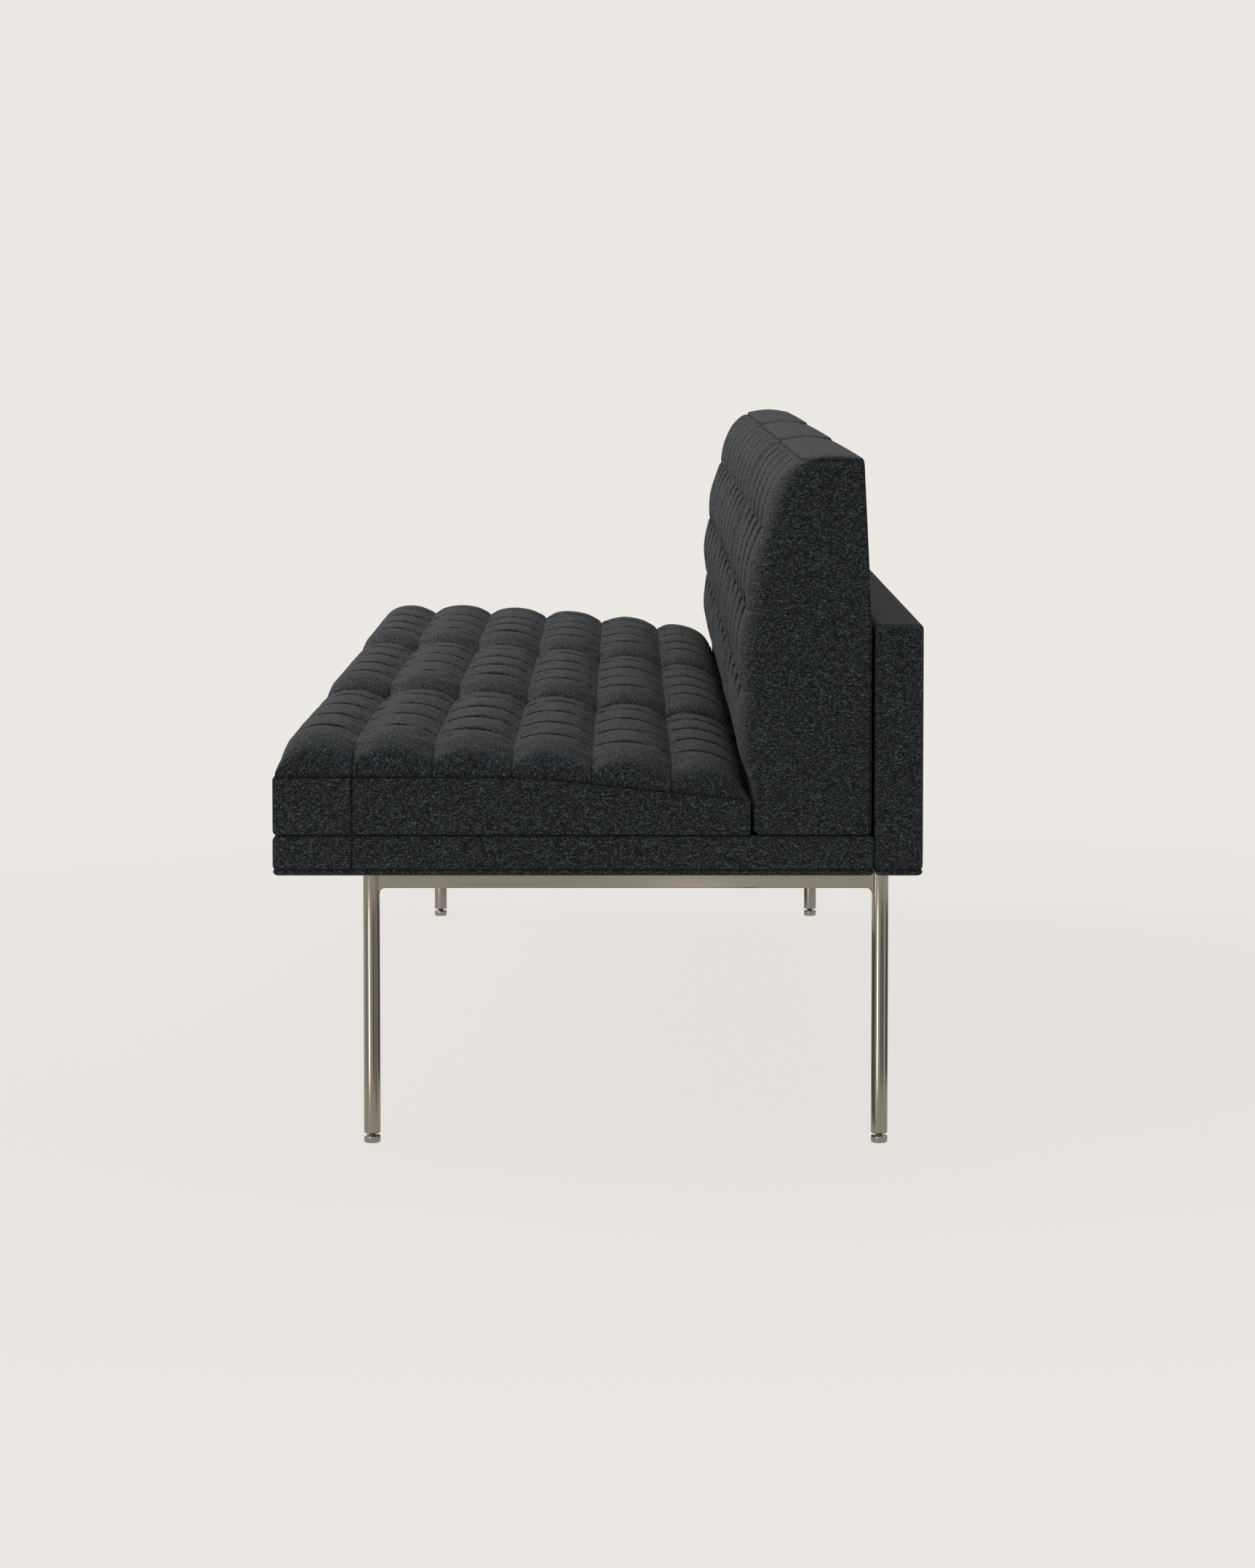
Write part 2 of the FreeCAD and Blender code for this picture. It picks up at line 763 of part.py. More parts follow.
def make_cushions():
    """Seat and back cushions: a tufted cover with its fibre wrap, and a foam core inside."""
    half_core = size.seat_pitch / 2 - size.core_margin
    outlines = core_outlines()
    for kind, section in (("seat", seat_section), ("back", back_section)):
        outline = outlines[kind]
        hollow = core_cavity(outline, half_core.number + size.core_clearance.number)
        cover_shape = tufted_solid(section).cut(hollow)
        for index, seat in enumerate(SEATS):
            middle = size.seat_pitch * (index - (len(SEATS) - 1) / 2)
            cover = doc.addObject("Part::Feature", f"{kind}_cushion_{seat}")
            cover.Shape = cover_shape
            keep(place(cover, middle, 0, 0), f"{kind}_cushion_{seat}")
            core = new_body(f"{kind}_core_{seat}", middle - half_core, 0, 0)
            pad(core, draw_outline(new_sketch(core, "YZ_Plane"), outline), half_core * 2)
            keep(core, f"{kind}_core_{seat}")


def check_and_write():
    """Stop on any failed object or bad shape, then write one STEP file for each piece."""
    doc.recompute()
    for item in doc.Objects:
        if "Invalid" in item.State or "Error" in item.State:
            raise RuntimeError(f"{item.Label} failed: {item.State}")
    for item in nodes:
        shape = item.Shape
        if shape.isNull() or not shape.isValid() or not shape.Solids:
            raise RuntimeError(f"{item.Label} has no valid solid")
    os.makedirs("parts", exist_ok=True)
    for item in nodes:
        item.Shape.exportStep(f"parts/{item.Label}.step")
    print(f"{len(nodes)} pieces written")


make_legs()
make_glides()
make_bars()
make_mounting_tabs()
make_base_frame()
make_webbing()
make_cover("base_cover", front, size.base_depth, size.base_height, size.base_edge_radius,
           size.base_turn_under, windows_behind=True)
make_dust_cover()
make_back_frame()
make_cover("back_cover", joint_plane, size.back_thickness, size.back_height, size.back_edge_radius,
           size.back_turn_under, windows_behind=False)
make_cushions()
check_and_write()
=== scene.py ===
import json
import math

import bpy
import numpy as np
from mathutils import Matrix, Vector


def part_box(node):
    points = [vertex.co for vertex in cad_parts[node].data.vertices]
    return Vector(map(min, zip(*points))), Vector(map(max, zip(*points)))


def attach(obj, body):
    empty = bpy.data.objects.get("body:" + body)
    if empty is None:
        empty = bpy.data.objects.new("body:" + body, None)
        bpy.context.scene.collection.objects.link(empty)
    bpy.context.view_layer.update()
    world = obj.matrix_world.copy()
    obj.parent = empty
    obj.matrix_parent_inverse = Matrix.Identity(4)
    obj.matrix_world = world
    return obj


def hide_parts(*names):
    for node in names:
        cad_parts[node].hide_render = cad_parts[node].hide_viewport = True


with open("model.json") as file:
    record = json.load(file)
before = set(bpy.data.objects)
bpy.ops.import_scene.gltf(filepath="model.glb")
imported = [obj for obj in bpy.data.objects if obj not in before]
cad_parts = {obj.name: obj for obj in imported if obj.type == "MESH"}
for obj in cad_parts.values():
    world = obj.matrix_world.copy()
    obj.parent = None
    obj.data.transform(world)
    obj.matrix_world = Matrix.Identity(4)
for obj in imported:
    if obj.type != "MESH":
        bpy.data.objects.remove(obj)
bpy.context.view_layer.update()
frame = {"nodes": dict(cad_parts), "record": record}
scene = bpy.context.scene

# Armless three-seat sofa, in metres: X along the width, the front faces -Y, +Z up, floor at 0.
MM = 0.001
# Two places closer than this are the same place; two that were worked out differently may be further apart.
TINY = 1e-9
NEAR = 1e-7
SEATS = ("left", "middle", "right")
LEGS = [f"{end}_{side}" for end in ("front", "rear") for side in ("left", "right")]


def box_of(node):
    """Lowest and highest corner of a solid, as arrays."""
    return [np.array(corner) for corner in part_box(node)]


# Places and sizes read from the solids
base_low, base_high = box_of("base_cover")
seat_low, seat_high = box_of("seat_cushion_middle")
back_low, back_high = box_of("back_cushion_middle")
CUSHION_WIDTH = seat_high[0] - seat_low[0]
SEAT_DEPTH = seat_high[1] - seat_low[1]
SEAT_PITCH = (base_high[0] - base_low[0]) / len(SEATS)
RAIL_TOP = box_of("back_cover")[1][2]

# Tufts, sewn in columns across the width and in rows
TUFT_COLUMNS = 5
COLUMN_CELLS = 16
COLUMN_GATHER = 0.86
ROW_CELLS = 12
ROW_GATHER = 0.7
TUFT_FADE = 12 * MM
LIP_RUN = 4 * MM
LAP_RUN = 60 * MM
CREASE = 1.5 * MM
THREAD_PULL = 2.2 * MM

# Seat cushion: a stitched border that falls to the rear, a crown inside it, and tufts on the crown
SEAT_ROWS = 6
SEAT_EDGE = 5 * MM
BORDER = 65.5 * MM
BORDER_CELLS = 6
BORDER_FALL = 26 * MM
BORDER_FALL_RUN = 243 * MM
END_CROWN_RUN = 110 * MM
FRONT_CROWN_RUN = 42 * MM
REAR_CROWN_RUN = 95 * MM
SEAT_CROWN = 33 * MM
SEAT_SINK = 8 * MM
SEAT_SINK_START = 150 * MM
SEAT_SINK_RUN = 120 * MM
TUFT_SWELL = 10.5 * MM
TUFT_TUCK = 3 * MM
SEAT_SETTLE = {"left": 3 * MM, "middle": 7 * MM, "right": 8 * MM}

# Back cushion: its face leans back towards the top, swells forward and is eased at its ends
BACK_HEIGHT = 412 * MM
BACK_FOOT = 128.5 * MM
BACK_EDGE = 6 * MM
BACK_FOOT_CELLS = 8
BACK_SWEEP = 51 * MM
BACK_SWEEP_HEIGHT = 236 * MM
BACK_REAR_LEAN = 9 * MM
BACK_REAR_GAP = 0.7 * MM
BACK_CROWN = 8 * MM
BACK_CROWN_RUN = 60 * MM
BACK_CROWN_START = 58 * MM
BACK_END_EASE = 12 * MM
BACK_WAIST_EASE = 15 * MM
BACK_EASE_RISE = 80 * MM
BACK_END_RUN = 60 * MM
BACK_SWELL = 3.2 * MM
BACK_TUCK = 4 * MM
BACK_TOP_SWELL = 5 * MM
BACK_SETTLE = 2.2 * MM
BACK_SETTLE_RUN = 60 * MM
BACK_ROW_PITCH = 88 * MM
BACK_TOP_ROW = 80 * MM
BACK_ROWS = 5
BACK_ROW_CREASE = 0.6  # of a column's crease
BACK_ROW_THREAD_AND_PAINTED_SHADE = 0.4  # of a column's dark thread and painted crease shade
BACK_ROW_START = 0.3  # share of the end run before a row is creased

# Filling: air pressure in the sewn skin, with a limit on how far the cloth moves
FILL_PRESSURE = 4.0
FILL_STEPS = 20
SEAT_FILL_CAP = 6 * MM
BACK_FILL_CAP = 2.5 * MM
FRONT_BULGE = 1.5 * MM
NEIGHBOUR_GIVE = 0.9 * MM
UNEVENNESS = 1.2 * MM

# Padded covers of the base and the back rail
COVER_EDGE = 6 * MM
COVER_THREAD = 1.2 * MM
# Darkening along the cover seams, of dark thread and painted shade in their grooves
COVER_SEAM_THREAD_AND_PAINTED_SHADE = 0.8
HEM_STITCH = 7 * MM
TURNED_UNDER = 6 * MM


def linear(code):
    """Linear RGBA of an sRGB hex colour: ((c + 0.055) / 1.055) ^ 2.4 over 0.04045, else c / 12.92."""
    c = np.array([int(code[i:i + 2], 16) for i in (1, 3, 5)]) / 255
    c = np.where(c > 0.04045, ((c + 0.055) / 1.055) ** 2.4, c / 12.92)
    return (*c.tolist(), 1.0)


def add_node(tree, kind, settings=None, links=None):
    """One shader node, with settings {attribute or socket: value} and links {socket: output socket}."""
    node = tree.nodes.new(kind)
    for key, value in (settings or {}).items():
        if isinstance(key, str) and hasattr(node, key):
            setattr(node, key, value)
        else:
            node.inputs[key].default_value = value
    for key, output in (links or {}).items():
        tree.links.new(output, node.inputs[key])
    return node


def new_material(name):
    """An empty node material, its tree and its output node."""
    material = bpy.data.materials.new(name)
    material.use_nodes = True
    material.node_tree.nodes.clear()
    return material, material.node_tree, add_node(material.node_tree, "ShaderNodeOutputMaterial")


def heathered_twill():
    """Wool-blend twill woven from charcoal yarn with pale cool-grey neps.

    Short slanted floats, lighter where a pale fibre comes up, uneven where the weft yarn is thicker, dark
    along the seams from black thread and from shade painted into the creases, and a faint halo of fibre ends
    at grazing angles.
    """
    float_width = 1.0 * MM
    float_length = 1.8 * MM
    slub_length = 8 * MM
    slub_width = 2.0 * MM
    yarn_height = 0.6 * MM
    twill_angle = math.radians(58)
    multiply = {"data_type": "RGBA", "blend_type": "MULTIPLY", "Factor": 1.0}
    material, tree, output = new_material("heathered_wool_twill")
    uv = add_node(tree, "ShaderNodeUVMap", {"uv_map": "weave"})
    slant = add_node(tree, "ShaderNodeMapping", {
        "Rotation": (0, 0, twill_angle),
        "Scale": (1 / float_length, 1 / float_width, 1),
    }, {"Vector": uv.outputs["UV"]})
    floats = add_node(tree, "ShaderNodeTexVoronoi", {
        "voronoi_dimensions": "2D", "Scale": 1.0, "Randomness": 0.8,
    }, {"Vector": slant.outputs["Vector"]})
    pick = add_node(tree, "ShaderNodeSeparateColor", {}, {"Color": floats.outputs["Color"]})
    yarn = add_node(tree, "ShaderNodeValToRGB", {}, {"Fac": pick.outputs["Red"]})
    shades = yarn.color_ramp.elements
    shades[0].position, shades[0].color = 0.0, linear("#1f2123")
    shades[1].position, shades[1].color = 1.0, linear("#7c8182")
    for position, code in ((0.45, "#38393a"), (0.8, "#555758")):
        shades.new(position).color = linear(code)
    gap = add_node(tree, "ShaderNodeMapRange", {
        "From Min": 0.25, "From Max": 0.75, "To Min": 1.0, "To Max": 0.35,
    }, {"Value": floats.outputs["Distance"]})
    shaded = add_node(tree, "ShaderNodeMix", multiply,
                      {"A": yarn.outputs["Color"], "B": gap.outputs["Result"]})
    weft = add_node(tree, "ShaderNodeMapping", {"Scale": (1 / slub_length, 1 / slub_width, 1)},
                    {"Vector": uv.outputs["UV"]})
    slubs = add_node(tree, "ShaderNodeTexNoise", {"noise_dimensions": "2D", "Scale": 1.0, "Detail": 1.0},
                     {"Vector": weft.outputs["Vector"]})
    heather = add_node(tree, "ShaderNodeMapRange", {
        "From Min": 0.3, "From Max": 0.7, "To Min": 0.68, "To Max": 1.32,
    }, {"Value": slubs.outputs["Fac"]})
    mixed = add_node(tree, "ShaderNodeMix", multiply,
                     {"A": shaded.outputs["Result"], "B": heather.outputs["Result"]})
    # Painted shade: the cloth goes towards near-black along the seams, partly the black thread and partly
    # shade painted into the closed folds
    seam = add_node(tree, "ShaderNodeAttribute", {"attribute_name": "sewn"})
    depth = add_node(tree, "ShaderNodeMath", {"operation": "POWER", 1: 2.0}, {0: seam.outputs["Fac"]})
    thread_and_painted_shade = add_node(tree, "ShaderNodeMix", {"data_type": "RGBA", "B": linear("#090a0b")},
                        {"Factor": depth.outputs[0], "A": mixed.outputs["Result"]})
    weave_bump = add_node(tree, "ShaderNodeBump", {"Strength": 0.35, "Distance": yarn_height},
                          {"Height": gap.outputs["Result"]})
    cloth = add_node(tree, "ShaderNodeBsdfPrincipled", {
        "Roughness": 0.92, "Specular IOR Level": 0.2, "Sheen Weight": 0.05, "Sheen Roughness": 0.5,
        "Sheen Tint": linear("#8f9191"),
    }, {"Base Color": thread_and_painted_shade.outputs["Result"], "Normal": weave_bump.outputs["Normal"]})
    tree.links.new(cloth.outputs["BSDF"], output.inputs["Surface"])
    return material


def satin_steel():
    """Stainless bar, ground and polished to a satin: a warm grey whose gloss varies in a fine grain."""
    # The grit is finer than this; it is drawn coarse enough to show.
    grit = 0.6 * MM
    material, tree, output = new_material("satin_ground_stainless_steel")
    place = add_node(tree, "ShaderNodeTexCoord")
    scaled = add_node(tree, "ShaderNodeMapping", {"Scale": (1 / grit, 1 / grit, 1 / grit)},
                      {"Vector": place.outputs["Object"]})
    ground = add_node(tree, "ShaderNodeTexNoise", {"Scale": 1.0, "Detail": 2.0},
                      {"Vector": scaled.outputs["Vector"]})
    gloss = add_node(tree, "ShaderNodeMapRange", {"To Min": 0.15, "To Max": 0.2},
                     {"Value": ground.outputs["Fac"]})
    metal = add_node(tree, "ShaderNodeBsdfPrincipled", {
        "Base Color": linear("#918b81"), "Metallic": 1.0,
    }, {"Roughness": gloss.outputs["Result"]})
    tree.links.new(metal.outputs["BSDF"], output.inputs["Surface"])
    return material


def plain_finish(name, low, high, grain, roughness, metallic=0.0):
    """A finish whose colour and height drift over patches of a grain (x, y, z) in mm, between two shades."""
    relief = 0.3 * MM
    material, tree, output = new_material(name)
    place = add_node(tree, "ShaderNodeTexCoord")
    scaled = add_node(tree, "ShaderNodeMapping", {"Scale": tuple(1 / (g * MM) for g in grain)},
                      {"Vector": place.outputs["Object"]})
    patches = add_node(tree, "ShaderNodeTexNoise", {"Scale": 1.0, "Detail": 4.0},
                       {"Vector": scaled.outputs["Vector"]})
    shade = add_node(tree, "ShaderNodeValToRGB", {}, {"Fac": patches.outputs["Fac"]})
    shades = shade.color_ramp.elements
    shades[0].position, shades[0].color = 0.3, linear(low)
    shades[1].position, shades[1].color = 0.7, linear(high)
    bump = add_node(tree, "ShaderNodeBump", {"Strength": 0.3, "Distance": relief},
                    {"Height": patches.outputs["Fac"]})
    body = add_node(tree, "ShaderNodeBsdfPrincipled", {"Roughness": roughness, "Metallic": metallic},
                    {"Base Color": shade.outputs["Color"], "Normal": bump.outputs["Normal"]})
    tree.links.new(body.outputs["BSDF"], output.inputs["Surface"])
    return material


TWILL = heathered_twill()
STEEL = satin_steel()
# Softwood rails, planed: pale straight grain with darker late wood
PINE = plain_finish("planed_pine", "#b08a5a", "#d8b98a", (40, 3, 3), 0.7)
# Rotary-cut veneer: long, wide figure in an even pale face
PLYWOOD = plain_finish("birch_plywood", "#c29f6d", "#dcc196", (60, 3, 20), 0.65)
# Woven rubber and polypropylene yarn: dull black with a close, ribbed weave
WEBBING = plain_finish("woven_elastic_webbing", "#17181a", "#2a2b2d", (2, 1.2, 1), 0.85)
# Bonded fibre sheet: matt black, speckled where the fibres are pressed together
DUST_CLOTH = plain_finish("spunbond_dust_cloth", "#101112", "#1d1e1f", (2.5, 2.5, 1), 0.95)
# Cut polyurethane foam: cream and matt, with open cells
FOAM = plain_finish("open_cell_foam", "#d6cca2", "#e6deba", (2, 2, 2), 0.95)
# Electroplated bolts: a cool, slightly clouded metal
ZINC = plain_finish("zinc_plated_steel", "#9a9c9b", "#c2c4c3", (3, 3, 3), 0.35, 1.0)


def corners(grid):
    """The four corner entries of every cell of a grid, in turn round the cell."""
    ring = np.stack([grid[:-1, :-1], grid[1:, :-1], grid[1:, 1:], grid[:-1, 1:]], axis=2)
    return ring.reshape((-1,) + ring.shape[2:])


def shell(us, vs, ws):
    """Skin of a box lattice: points as (u, v, w), outward quads, and sides as (axis, end, grid of points).

    Points are the lattice's outer ones; the side of axis a has its quads in the grid of the next two axes,
    so its normal is +a at the far end, and the order is turned round at the near end.
    """
    axes = (np.asarray(us), np.asarray(vs), np.asarray(ws))
    counts = [len(axis) for axis in axes]
    grid = np.indices(counts)
    outer = np.any([(grid[a] == 0) | (grid[a] == counts[a] - 1) for a in range(3)], axis=0)
    number = np.full(counts, -1)
    number[outer] = np.arange(outer.sum())
    points = np.stack([axes[a][grid[a][outer]] for a in range(3)], axis=1)
    quads, sides = [], []
    for a in range(3):
        ids = np.moveaxis(number, (a, (a + 1) % 3, (a + 2) % 3), (0, 1, 2))
        for end in (0, -1):
            ring = corners(ids[end])
            quads.append(ring if end else ring[:, ::-1])
            sides.append((a, end, ids[end]))
    return points, np.concatenate(quads), sides


def rounded(points, extent, radius):
    """Box skin with rounded edges, and its outward directions: core point + radius * direction to it."""
    core = np.clip(points, radius, np.asarray(extent) - radius)
    away = points - core
    away /= np.maximum(np.linalg.norm(away, axis=1, keepdims=True), TINY)
    return core + away * radius, away


def groove(places, lines, width):
    """Depth of a sewn groove, 1 on its line: the sum over the lines of exp(-(distance / width) ^ 2)."""
    gap = (places[:, None] - np.asarray(lines)[None, :]) / width
    return np.exp(-gap * gap).sum(axis=1)


def with_lines(places, lines, reach):
    """The places along an edge, with closer ones, in shares of the reach, on and beside some lines."""
    beside = np.asarray(lines)[:, None] + reach * np.array([-2.5, -1, -0.45, 0, 0.45, 1, 2.5])
    inside = beside[(beside > places[0]) & (beside < places[-1])]
    far = np.all(np.abs(places[:, None] - np.asarray(lines)[None, :]) > 2.8 * reach, axis=1)
    far[[0, -1]] = True
    return np.unique(np.concatenate([places[far], inside]))


def stops(length, radius, cells):
    """Places from 0 to length: even cells between the rounded edges, and every 15 degrees round these."""
    turn = radius * (1 - np.tan(np.radians([45, 30, 15, 0])))
    even = np.linspace(radius, length - radius, cells + 1)
    return np.concatenate([turn[:-1], even, length - turn[-2::-1]])


def seam_stops(seams, cells, gather):
    """Places from seam to seam, closer beside the seams: share = u - gather / (2 pi) * sin(2 pi u)."""
    seams = np.asarray(seams)
    u = np.arange(cells) / cells
    share = u - gather / (2 * np.pi) * np.sin(2 * np.pi * u)
    return np.append((seams[:-1, None] + share * np.diff(seams)[:, None]).ravel(), seams[-1])


def on_line(places, lines):
    """True where a place lies on one of the lines."""
    return np.any(np.abs(places[:, None] - np.asarray(lines)[None, :]) < NEAR, axis=1)


def share_of(distance, run):
    """How far a distance goes along a run, from 0 to 1."""
    return np.clip(distance / run, 0, 1)


def crown(distance, run):
    """Rise from 0 at a border to 1 after the run, a quarter ellipse: sqrt(1 - (1 - distance / run) ^ 2)."""
    return np.sqrt(1 - (1 - share_of(distance, run)) ** 2)


def dome(places, seams):
    """Height of a stuffed roll, steep beside its seams: sin(pi * share of the way between them) ^ 0.7."""
    seams = np.asarray(seams)
    index = np.clip(np.searchsorted(seams, places, side="right") - 1, 0, len(seams) - 2)
    share = np.clip((places - seams[index]) / (seams[index + 1] - seams[index]), 0, 1)
    return np.sin(np.pi * share).clip(0) ** 0.7


def tuck(places, seams):
    """1 on the tufts and 0 on the seams across them, whose folds are lapped one way.

    A fold stands up as a quarter ellipse over the lip before its seam, and lies down as a parabola over
    the lap after it.
    """
    gap = np.asarray(seams)[None, :] - places[:, None]
    before = np.min(np.where(gap >= -TINY, gap, np.inf), axis=1)
    after = np.min(np.where(gap <= TINY, -gap, np.inf), axis=1)
    return crown(before, LIP_RUN) * (1 - (1 - share_of(after, LAP_RUN)) ** 2)


class Skin:
    """A piece's lattice, shaped points and quads, its seams, their darkening (dark thread and painted crease
    shade) and the points held in filling.
    """

    def __init__(self, us, vs, ws):
        self.lattice, self.quads, self.sides = shell(us, vs, ws)
        self.points = self.lattice
        self.seams = []
        self.sewn = np.zeros(len(self.lattice))
        self.held = np.zeros(len(self.lattice), bool)

    def weave(self, points):
        """Cloth coordinates of each quad corner: lengths along the cloth from its side's middle lines."""
        cloth = []
        for axis, end, grid in self.sides:
            lengths = []
            for k in (0, 1):
                steps = np.linalg.norm(np.diff(points[grid], axis=k), axis=2)
                run = np.cumsum(np.insert(steps, 0, 0, axis=k), axis=k)
                lengths.append(run - run.take([run.shape[k] // 2], axis=k))
            ring = corners(np.stack(lengths[::-1] if axis == 1 else lengths, axis=2))
            cloth.append(ring if end else ring[:, ::-1])
        return np.concatenate(cloth)


def swollen(skin, cap):
    """The skin's points after air pressure has filled it: held points stay, others move by up to cap."""
    mesh = bpy.data.meshes.new("filling")
    mesh.from_pydata(skin.points.tolist(), [], skin.quads.tolist())
    piece = bpy.data.objects.new("filling", mesh)
    scene.collection.objects.link(piece)
    piece.vertex_groups.new(name="held").add(np.flatnonzero(skin.held).tolist(), 1.0, "REPLACE")
    cloth = piece.modifiers.new("filling", "CLOTH")
    settings = cloth.settings
    settings.vertex_group_mass = "held"
    settings.use_pressure = True
    settings.uniform_pressure_force = FILL_PRESSURE
    settings.effector_weights.gravity = 0
    settings.shrink_min = -0.02
    settings.bending_stiffness = 0.4
    cloth.point_cache.frame_end = FILL_STEPS
    for step in range(FILL_STEPS):
        scene.frame_set(step + 1)
    filled = piece.evaluated_get(bpy.context.evaluated_depsgraph_get())
    moved = np.empty(len(skin.points) * 3, np.float32)
    filled.data.vertices.foreach_get("co", moved)
    bpy.data.objects.remove(piece)
    bpy.data.meshes.remove(mesh)
    scene.frame_set(1)
    shift = moved.reshape(-1, 3) - skin.points
    reach = np.linalg.norm(shift, axis=1, keepdims=True)
    return skin.points + shift * np.minimum(1, cap / np.maximum(reach, TINY))


def pressed(points, low, high):
    """Points held between two corners as by a neighbour.

    A point that would pass a wall by d stands out by give * (1 - exp(-d / give)).
    """
    give = NEIGHBOUR_GIVE
    over = np.maximum(points - np.asarray(high), 0)
    under = np.maximum(np.asarray(low) - points, 0)
    return points - over + under + give * (1 - np.exp(-over / give)) - give * (1 - np.exp(-under / give))


def add_upholstery(name, skin, points, body):
    """A mesh piece in twill from a skin, creased along its seams, riding on a body."""
    mesh = bpy.data.meshes.new(name)
    mesh.from_pydata(points.tolist(), [], skin.quads.tolist())
    uvs = skin.weave(points).astype(np.float32)
    mesh.uv_layers.new(name="weave").data.foreach_set("uv", uvs.ravel())
    mesh.polygons.foreach_set("use_smooth", np.ones(len(skin.quads), bool))
    # Darkening along the seams for the twill: dark thread and painted crease shade
    thread = mesh.attributes.new("sewn", "FLOAT", "POINT")
    thread.data.foreach_set("value", skin.sewn.astype(np.float32))
    if skin.seams:
        ends = np.empty(len(mesh.edges) * 2, np.int32)
        mesh.edges.foreach_get("vertices", ends)
        ends = ends.reshape(-1, 2)
        along = np.any([line[ends[:, 0]] & line[ends[:, 1]] for line in skin.seams], axis=0)
        crease = mesh.attributes.new("crease_edge", "FLOAT", "EDGE")
        crease.data.foreach_set("value", along.astype(np.float32))
    mesh.materials.append(TWILL)
    piece = bpy.data.objects.new(name, mesh)
    scene.collection.objects.link(piece)
    smooth = piece.modifiers.new("smooth", "SUBSURF")
    smooth.levels = smooth.render_levels = 1
    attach(piece, body)
    return piece


def seat_skin():
    """Seat cushion: z = border + crowns(x, y) rise + dome(y) (swell - depth (1 - tuck(x))).

    The border is a rounded box. Rolls along the width swell between deep seams, each tucked by the seams
    across it; all fade at the border, which falls to the rear.
    """
    columns = np.linspace(0, CUSHION_WIDTH, TUFT_COLUMNS + 1)
    rows = np.linspace(0, SEAT_DEPTH, SEAT_ROWS + 1)
    skin = Skin(seam_stops(columns, COLUMN_CELLS, COLUMN_GATHER), seam_stops(rows, ROW_CELLS, ROW_GATHER),
                stops(BORDER, SEAT_EDGE, BORDER_CELLS))
    x, y, t = skin.lattice.T
    top = t >= BORDER - TINY
    side_x = np.minimum(x, CUSHION_WIDTH - x)
    side_y = np.minimum(y, SEAT_DEPTH - y)
    on_rim = top & ((side_x < TINY) | (side_y < TINY))
    in_column = top & on_line(x, columns[1:-1])
    in_row = top & on_line(y, rows[1:-1])
    end_seam = (side_x < TINY) & on_line(y, rows[1:2])
    p, away = rounded(skin.lattice, (CUSHION_WIDTH, SEAT_DEPTH, BORDER), SEAT_EDGE)
    p[:, 2] *= 1 - BORDER_FALL / BORDER * share_of(y - SEAT_DEPTH + BORDER_FALL_RUN, BORDER_FALL_RUN)
    rise = SEAT_CROWN - SEAT_SINK * share_of(y - SEAT_SINK_START, SEAT_SINK_RUN)
    rise *= crown(side_x, END_CROWN_RUN) * crown(y, FRONT_CROWN_RUN) * crown(SEAT_DEPTH - y, REAR_CROWN_RUN)
    puff = dome(y, rows) * (TUFT_SWELL - TUFT_TUCK * (1 - tuck(x, columns[1:-1])))
    fade = share_of(side_x, TUFT_FADE) * share_of(side_y, TUFT_FADE)
    p[top, 2] += (rise + fade * puff)[top]
    # Thread pulls the seams in.
    p[:, 2] -= CREASE * fade * (in_column | in_row)
    p -= THREAD_PULL * away * (on_rim | end_seam)[:, None]
    skin.points = p
    skin.seams = [in_column, in_row, on_rim, end_seam]
    # The seams also darken the twill: black thread and painted crease shade
    skin.sewn = np.any(skin.seams, axis=0)
    skin.held = skin.sewn | ~top
    return skin


